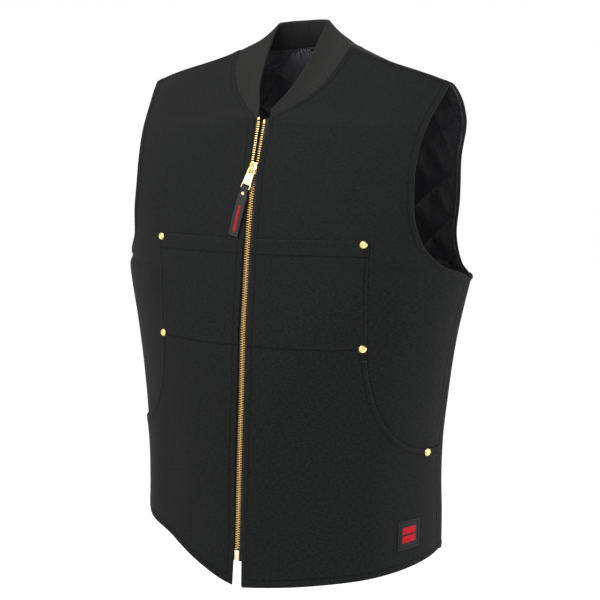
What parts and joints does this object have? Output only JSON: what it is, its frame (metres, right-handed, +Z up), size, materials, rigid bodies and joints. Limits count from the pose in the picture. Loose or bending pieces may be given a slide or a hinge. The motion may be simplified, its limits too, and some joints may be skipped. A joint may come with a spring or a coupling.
{
  "type": "insulated work vest",
  "caption": "Sleeveless insulated work vest of stiff black duck canvas in its worn form, with a brass front zip, rib-knit collar, riveted overlay pockets and a quilted lining.",
  "frame": {"origin": "on the centre plane, at the height where the shoulder seams meet the collar and above the shoulder line", "axes": "+Z up, the front with the zip faces -Y, +X is the wearer's left"},
  "size_m": [0.5176, 0.2666, 0.7454],
  "materials": {
    "canvas": "matt washed duck canvas",
    "quilt": "smooth quilted nylon with a soft sheen",
    "rib": "matt rib knit",
    "tape": "matt woven tape",
    "brass": "polished",
    "webbing": "matt woven webbing",
    "label": "matt woven label"
  },
  "bodies": {
    "vest": {"shell_front_left": "canvas", "shell_front_right": "canvas", "shell_back": "canvas", "pocket_panel_left": "canvas", "pocket_panel_right": "canvas", "lining_front_left": "quilt", "lining_front_right": "quilt", "lining_back": "quilt", "collar": "rib", "label_patch": "label", "zip_row_left": "brass", "zip_row_right": "brass", "zip_tape_left": "tape", "zip_tape_right": "tape", "zip_stop_left": "brass", "zip_stop_right": "brass", "zip_box": "brass", "zip_slider": "brass", "rivet_chest_left": "brass", "rivet_chest_right": "brass", "rivet_pocket_left": "brass", "rivet_pocket_right": "brass", "rivet_side_left": "brass", "rivet_side_right": "brass"},
    "pull": {"zip_pull": "brass", "pull_tag": "webbing", "tag_rivet": "brass"}
  },
  "joints": [
    {"name": "pull_swing", "type": "hinge", "parent": "vest", "child": "pull", "pos_m": [0, -0.10968, -0.15987], "axis": [-0.9563, 0.0695, 0.284], "range_deg": [0, 150]}
  ]
}
